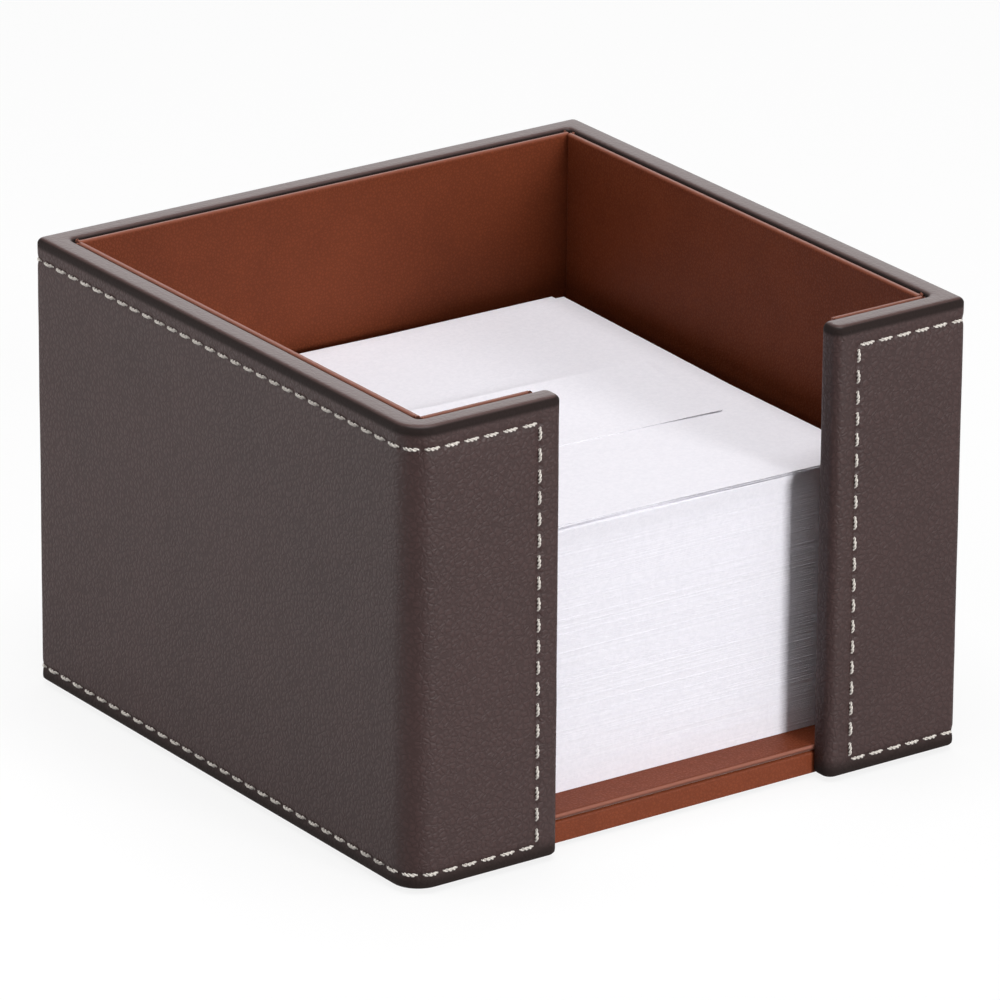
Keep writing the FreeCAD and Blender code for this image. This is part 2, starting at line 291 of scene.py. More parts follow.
def leather(name, pebbles, deep, light, painted_fold_shading, painted_top_highlight, dull, shiny, relief, mirror):
    """A grained leather: colours of its hollows and high spots, the painted shading on its folds and the
    painted highlight on their tops, its roughness on the flat and on the fold tops, the height of its grain
    and how strongly it mirrors."""
    finish, tree, shader = new_finish(name)
    grain = add(tree, "ShaderNodeGroup", node_tree=leather_grain)
    grain.inputs["Pebbles per metre"].default_value = pebbles
    high, mottle = grain.outputs["Height"], grain.outputs["Mottle"]
    fold = add(tree, "ShaderNodeAttribute", attribute_name="fold").outputs["Fac"]
    grain_tone = calc(tree, "MULTIPLY", high, GRAIN_TONE_SHARE)
    tone = calc(tree, "ADD", grain_tone, calc(tree, "MULTIPLY", mottle, MOTTLE_TONE_SHARE))
    flat_colour = blend_colours(tree, tone, (*deep, 1), (*light, 1))
    # Fold colours are painted light: shade painted into the dark leather's creases under the rim and at the
    # foot, and a highlight painted on rim tops and on the rolled tan edges.
    bent = remap(tree, fold, 0.0, FOLD_PAINT_FULL, 0.0, 1.0)
    topmost = remap(tree, fold, TOP_HIGHLIGHT_FROM, 1.0, 0.0, 1.0)
    colour = blend_colours(tree, bent, flat_colour, (*painted_fold_shading, 1))
    tree.links.new(blend_colours(tree, topmost, colour, (*painted_top_highlight, 1)), shader.inputs["Base Color"])
    plain = remap(tree, high, 0.0, 1.0, dull + HOLLOW_ROUGHER, dull)
    dusty = add(tree, "ShaderNodeMix", {0: bent, 2: plain, 3: PINCHED_ROUGHNESS}).outputs[0]
    gloss = add(tree, "ShaderNodeMix", {0: topmost, 2: dusty, 3: shiny}).outputs[0]
    tree.links.new(gloss, shader.inputs["Roughness"])
    flatter = calc(tree, "MULTIPLY", high, remap(tree, fold, 0.0, 1.0, 1.0, STRETCHED_GRAIN_SHARE))
    bump = add(tree, "ShaderNodeBump", {"Strength": 0.6, "Distance": relief, "Height": flatter})
    tree.links.new(bump.outputs[0], shader.inputs["Normal"])
    tree.links.new(remap(tree, fold, COATED, 1.0, 0.0, RIM_COAT), shader.inputs["Coat Weight"])
    shader.inputs["Coat Roughness"].default_value = 0.3
    shader.inputs["Specular IOR Level"].default_value = mirror
    return finish


print("leather finishes are ready")

# %% Three leathers
# Both are painted highlights on the rolled edges of the tan linings and of the floor panel.
TAN_EDGE_HIGHLIGHT, BASE_EDGE_HIGHLIGHT = (0.24, 0.085, 0.055), (0.30, 0.115, 0.08)
dark_leather = leather(
    "dark_leather",
    pebbles=1000,
    deep=(0.028, 0.012, 0.011),
    light=(0.050, 0.0235, 0.022),
    # Near-black painted shade under the rim and at the foot, and a warm painted highlight on the rim's top.
    painted_fold_shading=(0.008, 0.002, 0.001),
    painted_top_highlight=(0.082, 0.041, 0.037),
    dull=0.50,
    shiny=0.36,
    relief=0.00012,
    mirror=0.33,
)
tan_leather = leather(
    "tan_leather",
    pebbles=1700,
    deep=(0.106, 0.022, 0.007),
    light=(0.158, 0.034, 0.011),
    painted_fold_shading=TAN_EDGE_HIGHLIGHT,
    painted_top_highlight=TAN_EDGE_HIGHLIGHT,
    dull=0.52,
    shiny=0.44,
    relief=0.00005,
    mirror=0.12,
)
# The base's tan is painted lighter than the linings': a lit copy of the same tan leather, painted light.
lit_base_leather = leather(
    "lit_base_leather",
    pebbles=1700,
    deep=(0.150, 0.031, 0.010),
    light=(0.222, 0.048, 0.016),
    painted_fold_shading=BASE_EDGE_HIGHLIGHT,
    painted_top_highlight=BASE_EDGE_HIGHLIGHT,
    dull=0.50,
    shiny=0.42,
    relief=0.00005,
    mirror=0.2,
)
print("leathers:", dark_leather.name, tan_leather.name, lit_base_leather.name)

# %% [markdown]
# ## Wall columns
# The dark cover is one strip of leather that goes round all the walls, over the rim and round both slot
# edges. A sheet of faces could be extruded and bevelled, but its corners differ: the front left one is
# round and the rest are tight. So the wall is drawn as columns. Each has a point outside and its partner
# inside, and the way the leather faces there. The list starts in the middle of the left slot edge and ends
# in the right one.

# %% Wall columns
FOOT, RIM = cover_low.z, cover_high.z
FACE = cover_high.x
WALL = 4.6
BACK_OF_WALL = FACE - WALL
SLOT_LEFT, SLOT_RIGHT = -25.2, 27.8
SLOT_ROUND, SLOT_ROUND_INSIDE = 1.8, 1.5
SEAM_FROM_SLOT, SEAM_STRIP = 4.5, 1.25
NEAR_CORNER, CORNER, WELL_CORNER = 5.0, 1.4, 0.6
COLUMN_STEP = 2.5
EDGE_COLUMNS, BEND_COLUMNS, NEAR_BEND_COLUMNS = 2, 7, 10
columns = []


def ahead(angle):
    """The level direction at an angle in degrees from +X."""
    return Vector((math.cos(math.radians(angle)), math.sin(math.radians(angle)), 0))


def run(outer, inner, facing, inner_facing, count):
    """Columns along a straight part. outer and inner are pairs of ends."""
    for i in range(count):
        share = i / count
        point, inside = outer[0].lerp(outer[1], share), inner[0].lerp(inner[1], share)
        columns.append((point, facing, inside, inner_facing))


def bend(centre, radius, angles, inner_centre, inner_radius, inner_angles, hollow, count):
    """Columns round a corner or a slot edge. hollow is true where the inside is a hollow corner."""
    for i in range(count):
        share = i / count
        facing = ahead(angles[0] + (angles[1] - angles[0]) * share)
        inward = ahead(inner_angles[0] + (inner_angles[1] - inner_angles[0]) * share)
        inside = inner_centre + inward * inner_radius
        columns.append((centre + facing * radius, facing, inside, -inward if hollow else inward))


def slot_edge(x, side):
    """The middle of a slot edge, where its two roundings begin, and their centres. side is 1 at the left."""
    middle = Vector((x, -(FACE + BACK_OF_WALL) / 2, 0))
    outer = Vector((x, -FACE + SLOT_ROUND, 0))
    inner = Vector((x, -BACK_OF_WALL - SLOT_ROUND_INSIDE, 0))
    shift = Vector((-side, 0, 0))
    return middle, outer, inner, outer + shift * SLOT_ROUND, inner + shift * SLOT_ROUND_INSIDE


middle, outer, inner, outer_centre, inner_centre = slot_edge(SLOT_LEFT, 1)
run((middle, outer), (middle, inner), ahead(0), ahead(0), EDGE_COLUMNS)
bend(outer_centre, SLOT_ROUND, (0, -90), inner_centre, SLOT_ROUND_INSIDE, (0, 90), False, BEND_COLUMNS)
first_straight = len(columns)
start = outer_centre + ahead(-90) * SLOT_ROUND
inner_start = inner_centre + ahead(90) * SLOT_ROUND_INSIDE
for from_slot in (SEAM_FROM_SLOT - SEAM_STRIP, SEAM_FROM_SLOT + SEAM_STRIP):
    end = Vector((SLOT_LEFT - from_slot, -FACE, 0))
    inner_end = Vector((SLOT_LEFT - from_slot, -BACK_OF_WALL, 0))
    run((start, end), (inner_start, inner_end), ahead(-90), ahead(90), 1)
    start, inner_start = end, inner_end
corners = [(NEAR_CORNER, NEAR_BEND_COLUMNS)] + [(CORNER, BEND_COLUMNS)] * 3
for number, (radius, bends) in enumerate(corners):
    facing = -90 - 90 * number
    side = ahead(facing) + ahead(facing - 90)
    centre = side * (FACE - radius)
    well_centre = side * (BACK_OF_WALL - WELL_CORNER)
    end = centre + ahead(facing) * radius
    inner_end = well_centre + ahead(facing) * WELL_CORNER
    count = round((end - start).length / COLUMN_STEP)
    run((start, end), (inner_start, inner_end), ahead(facing), -ahead(facing), count)
    angles = (facing, facing - 90)
    bend(centre, radius, angles, well_centre, WELL_CORNER, angles, True, bends)
    start = centre + ahead(facing - 90) * radius
    inner_start = well_centre + ahead(facing - 90) * WELL_CORNER
middle, outer, inner, outer_centre, inner_centre = slot_edge(SLOT_RIGHT, -1)
for from_slot in (SEAM_FROM_SLOT + SEAM_STRIP, SEAM_FROM_SLOT - SEAM_STRIP):
    end = Vector((SLOT_RIGHT + from_slot, -FACE, 0))
    inner_end = Vector((SLOT_RIGHT + from_slot, -BACK_OF_WALL, 0))
    count = round((end - start).length / COLUMN_STEP)
    run((start, end), (inner_start, inner_end), ahead(-90), ahead(90), count)
    start, inner_start = end, inner_end
end = outer_centre + ahead(-90) * SLOT_ROUND
inner_end = inner_centre + ahead(90) * SLOT_ROUND_INSIDE
run((start, end), (inner_start, inner_end), ahead(-90), ahead(90), 1)
last_straight = len(columns)
angles, inner_angles = (-90, -180), (90, 180)
bend(outer_centre, SLOT_ROUND, angles, inner_centre, SLOT_ROUND_INSIDE, inner_angles, False, BEND_COLUMNS)
run((outer, middle), (inner, middle), ahead(180), ahead(180), EDGE_COLUMNS)
columns.append((middle, ahead(180), middle, ahead(180)))
print(len(columns), "columns round the wall")

# %% [markdown]
# ## Seams
# Four seams run on the cover: along the rim, along the foot and up both slot edges. To place thread and
# needle holes alike, each spot on the cover gets two numbers, how far along the wall it lies from the left
# slot edge and how high. The nearest seam then follows from those two, on flat sides and round corners.

# %% Seams
SEAM_FROM_RIM, SEAM_FROM_FOOT = 3.7, 2.5
STITCH_PITCH = 3.65
rim_seam, foot_seam = RIM - SEAM_FROM_RIM, FOOT + SEAM_FROM_FOOT
along = [0.0]
for before, after in zip(columns, columns[1:]):
    along.append(along[-1] + (after[0] - before[0]).length)
shift = SLOT_ROUND - along[first_straight]
along = [place + shift for place in along]
wall_length = along[last_straight] + SLOT_ROUND
left_seam, right_seam = SEAM_FROM_SLOT, wall_length - SEAM_FROM_SLOT
wall_stitches = round((right_seam - left_seam) / STITCH_PITCH)
slot_stitches = round((rim_seam - foot_seam) / STITCH_PITCH)
wall_pitch = (right_seam - left_seam) / wall_stitches
slot_pitch = (rim_seam - foot_seam) / slot_stitches


def nearest_seam(place, height):
    """How far the nearest seam is, and how far its nearest needle hole is along it."""
    found = []
    for seam in (rim_seam, foot_seam):
        beyond = max(left_seam - place, place - right_seam, 0)
        hole = (place - left_seam) - wall_pitch * round((place - left_seam) / wall_pitch)
        found.append((math.hypot(height - seam, beyond), abs(hole)))
    for seam in (left_seam, right_seam):
        beyond = max(foot_seam - height, height - rim_seam, 0)
        hole = (height - foot_seam) - slot_pitch * round((height - foot_seam) / slot_pitch)
        found.append((math.hypot(place - seam, beyond), abs(hole)))
    return min(found)


print(wall_stitches, "stitches along the rim,", slot_stitches, "up each slot edge")

# %% [markdown]
# ## Dark cover
# The section of the strip is a closed line: up the turned-in side, over the rim, down the outside, under
# the foot and back within the leather. Joining that section from column to column gives a sheet of real
# thickness, with round folds where leather bends. The faces near a seam are then cut finer, so that the
# thread can press a groove and each needle hole can pull a small dimple. Bump alone would leave the outline
# dead flat.

# %% Section of the cover
LEATHER = 0.8
FOLD, FOLD_SHADE, FOOT_FOLD = 1.15, 2.0, 0.8
TURN_IN, SLOT_TURN_IN = 15.0, 12.0
FLOOR_TOP = size_of("floor_skin")[1].z
ROW_STEP = 2.5
RIM_STEPS, FOOT_STEPS = 5, 3
# These fold numbers tell the finish where to paint shade under the rim and at the foot, and where to paint
# the highlight on the rim's top.
FOLD_AT_BEND, FOLD_AT_FACE, FOLD_AT_FOOT = 0.65, 0.75, 0.8
TOP_SHARES, SOLE_SHARES = (0.35, 0.7), (0.5, 1.0)
TOUCH = 0.01
strip_top, strip_bottom = rim_seam - SEAM_STRIP, foot_seam + SEAM_STRIP
rows_between = round((strip_top - strip_bottom) / ROW_STEP)
face_heights = [strip_top + (strip_bottom - strip_top) * i / rows_between for i in range(rows_between + 1)]
face_heights = [RIM - FOLD, RIM - FOLD_SHADE, rim_seam + SEAM_STRIP, *face_heights, FOOT + FOOT_FOLD]


def side_of_strip(point, facing, low, shows):
    """One side of the strip from the rim's top to its lower end, as (point, height, shows outside, fold)."""
    turns = [math.pi / (2 * RIM_STEPS) * i for i in range(RIM_STEPS, 0, -1)]
    rows = []
    for a in turns:
        rise, back = FOLD * math.sin(a), FOLD * (1 - math.cos(a))
        fold = FOLD_AT_BEND + (1 - FOLD_AT_BEND) * math.sin(a)
        rows.append((point - facing * back, RIM - FOLD + rise, 0, fold))
    stretch = (RIM - FOLD - low - FOOT_FOLD) / (face_heights[0] - face_heights[-1])
    for z in face_heights:
        fold = FOLD_AT_FACE if z in (face_heights[0], face_heights[-1]) else 0
        rows.append((point, RIM - FOLD + (z - face_heights[0]) * stretch, shows, fold))
    turns = [math.pi / (2 * FOOT_STEPS) * i for i in range(1, FOOT_STEPS + 1)]
    for a in turns:
        rise, back = FOOT_FOLD * (1 - math.sin(a)), FOOT_FOLD * (1 - math.cos(a))
        rows.append((point - facing * back, low + rise, 0, FOLD_AT_FOOT))
    return rows


def section(outside, facing, inside, inner_facing, turn_in_end):
    """The cover's closed section at one column: up its inside, down its outside and back in the leather."""
    inner_side = side_of_strip(inside, inner_facing, turn_in_end, 0)
    outer_side = side_of_strip(outside, facing, FOOT, 1)
    top = [(inner_side[0][0].lerp(outer_side[0][0], share), RIM, 0, 1) for share in TOP_SHARES]
    sole, sole_end = outer_side[-1][0], inside - inner_facing * FOOT_FOLD
    under = [(sole.lerp(sole_end, share), FOOT, 0, 0) for share in SOLE_SHARES]
    back, inner_back = outside - facing * LEATHER, inside - inner_facing * LEATHER
    hidden = [(sole_end, FOOT + LEATHER), (back, FOOT + LEATHER), (back, RIM - LEATHER)]
    hidden += [(inner_back, RIM - LEATHER), (inner_back, turn_in_end + LEATHER)]
    return inner_side[::-1] + top + outer_side + under + [(point, height, 0, 0) for point, height in hidden]


def turn_in_end_at(number):
    """Where the turned-in leather ends: the foot on a slot edge, the floor beside it, or near the rim."""
    from_slot = min(along[number], wall_length - along[number])
    if from_slot < SLOT_ROUND + TOUCH:
        return FOOT
    return FLOOR_TOP if from_slot < SLOT_TURN_IN else RIM - TURN_IN


print(len(face_heights), "rows down the face")

# %% Sheet of the cover
SEAM_CUTS = 7
HIDDEN_POINTS = 5
bm = bmesh.new()
along_layer = bm.verts.layers.float.new("along")
outside_layer = bm.verts.layers.float.new("outside")
fold_layer = bm.verts.layers.float.new("fold")
rings = []
for number, column in enumerate(columns):
    ring = []
    for point, height, shows, fold in section(*column, turn_in_end_at(number)):
        vertex = bm.verts.new((point.x, point.y, height))
        vertex[along_layer] = along[number]
        vertex[outside_layer] = shows
        vertex[fold_layer] = fold
        ring.append(vertex)
    rings.append(ring)
# Where both cut edges of the strip meet at the foot, no face lies between them.
last_row = len(rings[0]) - 1
cut_edge_rows = (last_row, last_row - HIDDEN_POINTS)
for number, (ring, next_ring) in enumerate(zip(rings, rings[1:])):
    edges_meet = turn_in_end_at(number) == turn_in_end_at(number + 1) == FOOT
    for row in range(len(ring)):
        below = (row + 1) % len(ring)
        if not (edges_meet and row in cut_edge_rows):
            bm.faces.new((ring[row], next_ring[row], next_ring[below], ring[below]))
bmesh.ops.remove_doubles(bm, verts=bm.verts, dist=TOUCH)
bmesh.ops.dissolve_degenerate(bm, edges=bm.edges, dist=0.001)
bmesh.ops.recalc_face_normals(bm, faces=bm.faces)


def touches_a_seam(face):
    """True for a face of the outside that a seam runs through."""
    if any(vertex[outside_layer] < 0.5 for vertex in face.verts):
        return False
    place = sum(vertex[along_layer] for vertex in face.verts) / len(face.verts)
    return nearest_seam(place, face.calc_center_median().z)[0] < SEAM_STRIP


sewn = [face for face in bm.faces if touches_a_seam(face)]
sewn_edges = {edge for face in sewn for edge in face.edges}
bmesh.ops.subdivide_edges(bm, edges=list(sewn_edges), cuts=SEAM_CUTS, use_grid_fill=True)
print(len(sewn), "faces cut finer,", len(bm.faces), "faces in all")

# %% Grooves, needle holes and gentle waves
GROOVE, HOLE, WAVE = 0.16, 0.26, 0.05
GROOVE_WIDTH, HOLE_WIDTH = 0.7, 0.42
LONG_WAVE, SHORT_WAVE, SHORT_WAVE_SHARE = 16, 5, 0.4


def relief(place, height):
    """How far the leather stands out at a spot of the cover's outside."""
    away, hole = nearest_seam(place, height)
    groove = -GROOVE * math.exp(-((away / GROOVE_WIDTH) ** 2))
    dimple = -HOLE * math.exp(-((away / HOLE_WIDTH) ** 2) - (hole / HOLE_WIDTH) ** 2)
    spot = Vector((place, height, 0))
    wave = noise.noise(spot / LONG_WAVE) + SHORT_WAVE_SHARE * noise.noise(spot / SHORT_WAVE)
    return groove + dimple + WAVE * (wave - 1.0)


def add_piece(name, mesh, finish):
    """An object at the origin with that mesh, smooth, in that finish."""
    mesh.materials.clear()
    mesh.materials.append(finish)
    mesh.polygons.foreach_set("use_smooth", [True] * len(mesh.polygons))
    piece = bpy.data.objects.new(name, mesh)
    bpy.context.scene.collection.objects.link(piece)
    return piece


def mesh_in_metres(bm, name):
    """The finished mesh of a shape drawn in millimetres."""
    bmesh.ops.scale(bm, vec=(MM, MM, MM), verts=bm.verts)
    mesh = bpy.data.meshes.new(name)
    bm.to_mesh(mesh)
    bm.free()
    return mesh


bm.normal_update()
moves = [v.normal * relief(v[along_layer], v.co.z) * min(1, v[outside_layer]) for v in bm.verts]
for vertex, move in zip(bm.verts, moves):
    vertex.co += move
cover = add_piece("cover", mesh_in_metres(bm, "cover"), dark_leather)
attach(cover, "holder")
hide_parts("outer_cover")
cover.data.calc_loop_triangles()
print("cover has", len(cover.data.loop_triangles), "triangles")

# %% [markdown]
# ## Stitching
# The thread is two plies twisted together. It lies on the leather, dives through a needle hole, runs behind
# and comes up at the next hole. Each stitch could be a copy of one bead, but a bead can't bend round the
# corners. So Geometry Nodes sweep one long thread along each seam and push it down at every hole. Two small
# circles side by side, turned as they go, make the twist.

# %% Thread finish
sockets = [("Flecks per metre", "NodeSocketFloat", 2000.0)]
fibre, given, result = new_group("ShaderNodeTree", "fibre", sockets, [("Fleck", "NodeSocketFloat")])
tree = fibre
here = add(tree, "ShaderNodeTexCoord").outputs["Object"]
scaled = add(tree, "ShaderNodeVectorMath", {0: here, 3: given[0]}, operation="SCALE").outputs[0]
flecks = {"Vector": scaled, "Scale": 1.0, "Detail": 3.0, "Roughness": 0.6, "Distortion": 0.6}
fleck = add(tree, "ShaderNodeTexNoise", flecks).outputs[0]
tree.links.new(remap(tree, fleck, 0.3, 0.7, 0.0, 1.0), result.inputs["Fleck"])


def fibrous(name, flecks, low, high, roughness, relief):
    """A finish of small fibres: paper, thread, board and felt differ in fleck size, colour and relief."""
    finish, tree, shader = new_finish(name)
    pattern = add(tree, "ShaderNodeGroup", node_tree=fibre)
    pattern.inputs["Flecks per metre"].default_value = flecks
    fleck = pattern.outputs["Fleck"]
    tree.links.new(blend_colours(tree, fleck, (*low, 1), (*high, 1)), shader.inputs["Base Color"])
    tree.links.new(remap(tree, fleck, 0.0, 1.0, roughness, roughness - 0.06), shader.inputs["Roughness"])
    bump = add(tree, "ShaderNodeBump", {"Strength": 0.5, "Distance": relief, "Height": fleck})
    tree.links.new(bump.outputs[0], shader.inputs["Normal"])
    return finish


thread = fibrous(
    "thread", flecks=5000, low=(0.58, 0.53, 0.48), high=(0.84, 0.79, 0.73), roughness=0.7, relief=0.00003
)
thread.node_tree.nodes["Principled BSDF"].inputs["Sheen Weight"].default_value = 0.3
print("thread finish:", thread.name)

# %% Thread tree
DIVE_POWER, PLY_SIDES = 3.5, 6
sockets = [
    ("Seam", "NodeSocketGeometry", None),
    ("Points", "NodeSocketInt", 100),
    ("Points in a stitch", "NodeSocketInt", 16),
    ("Ply radius", "NodeSocketFloat", 0.0002),
    ("Ply offset", "NodeSocketFloat", 0.00016),
    ("Rise", "NodeSocketFloat", 0.0),
    ("Dive", "NodeSocketFloat", 0.001),
    ("Twist per point", "NodeSocketFloat", 1.0),
    ("Finish", "NodeSocketMaterial", None),
]
outputs = [("Thread", "NodeSocketGeometry")]
thread_tree, given, result = new_group("GeometryNodeTree", "running thread", sockets, outputs)
tree = thread_tree
line = add(tree, "GeometryNodeMeshToCurve", {"Mesh": given["Seam"]}).outputs[0]
line = add(tree, "GeometryNodeResampleCurve", {"Curve": line, "Count": given["Points"]}).outputs[0]
index = add(tree, "GeometryNodeInputIndex").outputs[0]
phase = calc(tree, "FRACT", calc(tree, "DIVIDE", index, given["Points in a stitch"]))
from_middle = calc(tree, "MULTIPLY", calc(tree, "ABSOLUTE", calc(tree, "SUBTRACT", phase, 0.5)), 2.0)
drop = calc(tree, "MULTIPLY", calc(tree, "POWER", from_middle, DIVE_POWER), given["Dive"])
rise = calc(tree, "SUBTRACT", given["Rise"], drop)
facing_there = {"Name": "outward"}
outward = add(tree, "GeometryNodeInputNamedAttribute", facing_there, data_type="FLOAT_VECTOR").outputs[0]
move = add(tree, "ShaderNodeVectorMath", {0: outward, 3: rise}, operation="SCALE").outputs[0]
line = add(tree, "GeometryNodeSetPosition", {"Geometry": line, "Offset": move}).outputs[0]
twist = calc(tree, "MULTIPLY", index, given["Twist per point"])
line = add(tree, "GeometryNodeSetCurveTilt", {"Curve": line, "Tilt": twist}).outputs[0]
circle = {"Resolution": PLY_SIDES, "Radius": given["Ply radius"]}
circle = add(tree, "GeometryNodeCurvePrimitiveCircle", circle).outputs[0]
plies = add(tree, "GeometryNodeJoinGeometry")
for side in (1, -1):
    sideways = calc(tree, "MULTIPLY", given["Ply offset"], side)
    sideways = add(tree, "ShaderNodeCombineXYZ", {0: sideways}).outputs[0]
    ply = add(tree, "GeometryNodeTransform", {"Geometry": circle, "Translation": sideways}).outputs[0]
    tree.links.new(ply, plies.inputs[0])
swept = {"Curve": line, "Profile Curve": plies.outputs[0], "Fill Caps": True}
body = add(tree, "GeometryNodeCurveToMesh", swept).outputs[0]
body = add(tree, "GeometryNodeRealizeInstances", {0: body}).outputs[0]
body = add(tree, "GeometryNodeSetMaterial", {"Geometry": body, "Material": given["Finish"]}).outputs[0]
tree.links.new(body, result.inputs[0])
print("thread tree has", len(tree.nodes), "nodes")


# %% Sewn seams
def made_by_nodes(name, start, tree, values):
    """The plain mesh that a Geometry Nodes tree makes from a start mesh, with its named inputs set."""
    maker = bpy.data.objects.new(name, start)
    bpy.context.scene.collection.objects.link(maker)
    modifier = maker.modifiers.new("nodes", "NODES")
    modifier.node_group = tree
    for socket in tree.interface.items_tree:
        if socket.in_out == "INPUT" and socket.name in values:
            modifier[socket.identifier] = values[socket.name]
    graph = bpy.context.evaluated_depsgraph_get()
    mesh = bpy.data.meshes.new_from_object(maker.evaluated_get(graph))
    bpy.data.objects.remove(maker)
    return mesh


def seam_line(name, spots):
    """A line of edges along a seam, each point knowing which way the leather faces there."""
    mesh = bpy.data.meshes.new(name)
    points = [point * MM for point, facing in spots]
    mesh.from_pydata(points, [(i, i + 1) for i in range(len(points) - 1)], [])
    facings = mesh.attributes.new("outward", "FLOAT_VECTOR", "POINT")
    facings.data.foreach_set("vector", [part for point, facing in spots for part in facing])
    return mesh


SINK_AT_CORNER = 0.3


def spot_on_wall(place, height):
    """The wall's outside at a distance along it, and the way it faces. Thread bites into a sharp corner."""
    after = next(number for number, there in enumerate(along) if there >= place)
    share = (place - along[after - 1]) / (along[after] - along[after - 1])
    point = columns[after - 1][0].lerp(columns[after][0], share)
    facing = columns[after - 1][1].lerp(columns[after][1], share).normalized()
    sharp = 2 * abs(facing.x * facing.y) if point.x + point.y > -FACE else 0
    point = point - facing * SINK_AT_CORNER * sharp
    return Vector((point.x, point.y, height)), facing


POINTS_IN_A_STITCH = 16
TWIST_TURNS = 2.5
PLY_RADIUS, PLY_OFFSET = 0.19, 0.13
THREAD_RISE, THREAD_DIVE = -0.02, 2.0


def sew(name, node, spots, stitches):
    """One seam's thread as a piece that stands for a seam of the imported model."""
    values = {
        "Points": stitches * POINTS_IN_A_STITCH + 1,
        "Points in a stitch": POINTS_IN_A_STITCH,
        "Ply radius": PLY_RADIUS * MM,
        "Ply offset": PLY_OFFSET * MM,
        "Rise": THREAD_RISE * MM,
        "Dive": THREAD_DIVE * MM,
        "Twist per point": TWIST_TURNS * 2 * math.pi / POINTS_IN_A_STITCH,
        "Finish": thread,
    }
    piece = add_piece(name, made_by_nodes(name, seam_line(name, spots), thread_tree, values), thread)
    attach(piece, "holder")
    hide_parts(node)
    print(name, len(piece.data.polygons), "faces")


between = [place for place in along if left_seam < place < right_seam]
places = [left_seam, *between, right_seam]
sew("rim_thread", "rim_stitching", [spot_on_wall(place, rim_seam) for place in places], wall_stitches)
sew("foot_thread", "foot_stitching", [spot_on_wall(place, foot_seam) for place in places], wall_stitches)
for name, node, place in (
    ("left_slot_thread", "left_slot_stitching", left_seam),
    ("right_slot_thread", "right_slot_stitching", right_seam),
):
    sew(name, node, [spot_on_wall(place, foot_seam), spot_on_wall(place, rim_seam)], slot_stitches)

# %% [markdown]
# ## Tan panels
# Each lining is a card in tan leather, and so is the floor. On the real panels the leather rolls softly
# round the card's edge and the broad face is never quite flat. A cube with a Bevel would have the roll but
# not the slight waves, so a panel is a grid whose outer rows turn back to the wall, and Solidify gives the
# leather its thickness. The floor panel ends a little above the base, which leaves the dark groove that
# shows in the slot.

# %% Soft panel
PANEL_ROLL, ROLL_STEPS, PANEL_STEP = 0.5, 4, 4.0
# Each pair says how far in from the panel's edge, and how far off the wall.
TUCKED = ((0.3, 0.0), (0.08, 0.2), (0.0, 0.4))
PANEL_SKIN, PANEL_WAVE_LENGTH = 0.35, 18


def rolled(low, high, thick):
    """Places across a panel, and how far behind its face each lies: both ends roll back to the wall."""
    turns = [math.pi / 2 * i / ROLL_STEPS for i in range(1, ROLL_STEPS + 1)]
    edge = [(inset, thick - rise) for inset, rise in TUCKED] + [(0.0, PANEL_ROLL)]
    edge += [(PANEL_ROLL * (1 - math.cos(turn)), PANEL_ROLL * (1 - math.sin(turn))) for turn in turns]
    flat = high - low - 2 * PANEL_ROLL
    count = max(2, round(flat / PANEL_STEP))
    inside = [(low + PANEL_ROLL + flat * i / count, 0.0) for i in range(1, count)]
    first = [(low + place, depth) for place, depth in edge]
    last = [(high - place, depth) for place, depth in reversed(edge)]
    return first + inside + last


def soft_panel(name, node, facing, gap, wave, finish):
    """A leather-covered panel in place of a packed skin. facing is the way it looks, gap the room behind."""
    low, high = size_of(node)
    normal = next(axis for axis in range(3) if facing[axis])
    across, upward = [axis for axis in range(3) if axis != normal]
    front = high[normal] if facing[normal] > 0 else low[normal]
    thick = high[normal] - low[normal] - gap
    bm = bmesh.new()
    fold_layer = bm.verts.layers.float.new("fold")
    rows = []
    for u, u_depth in rolled(low[across], high[across], thick):
        row = []
        for v, v_depth in rolled(low[upward], high[upward], thick):
            depth = max(u_depth, v_depth)
            rolled_share = min(1, depth / PANEL_ROLL)
            if depth == 0:
                depth = wave * (1 + noise.noise(Vector((u, v, front)) / PANEL_WAVE_LENGTH))
            place = [0.0, 0.0, 0.0]
            place[across], place[upward], place[normal] = u, v, front - facing[normal] * depth
            vertex = bm.verts.new(place)
            # The fold number tells the finish where to paint the highlight on the rolled edge.
            vertex[fold_layer] = rolled_share
            row.append(vertex)
        rows.append(row)
    for row, next_row in zip(rows, rows[1:]):
        for i in range(len(row) - 1):
            bm.faces.new((row[i], row[i + 1], next_row[i + 1], next_row[i]))
    bmesh.ops.remove_doubles(bm, verts=bm.verts, dist=0.001)
    bmesh.ops.dissolve_degenerate(bm, edges=bm.edges, dist=0.0005)
    bmesh.ops.recalc_face_normals(bm, faces=bm.faces)
    broad = max(bm.faces, key=lambda face: face.calc_area())
    if broad.normal.dot(Vector(facing)) < 0:
        bmesh.ops.reverse_faces(bm, faces=bm.faces)
    piece = add_piece(name, mesh_in_metres(bm, name), finish)
    skin = piece.modifiers.new("skin", "SOLIDIFY")
    skin.thickness = PANEL_SKIN * MM
    skin.offset = -1
    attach(piece, "holder")
    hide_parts(node)
    print(name, len(piece.data.polygons), "faces")


print("soft panels can be made")

# %% Tan panels
PANEL_WAVE, FLOOR_WAVE, FLOOR_GAP = 0.05, 0.04, 0.4
LINED_WALLS = {"left": (1, 0, 0), "right": (-1, 0, 0), "back": (0, -1, 0)}
LINED_FLAPS = {"front_left": (0, 1, 0), "front_right": (0, 1, 0)}
for side, facing in {**LINED_WALLS, **LINED_FLAPS}.items():
    soft_panel(side + "_panel", side + "_lining_skin", facing, 0, PANEL_WAVE, tan_leather)
soft_panel("floor_panel", "floor_skin", (0, 0, 1), FLOOR_GAP, FLOOR_WAVE, lit_base_leather)
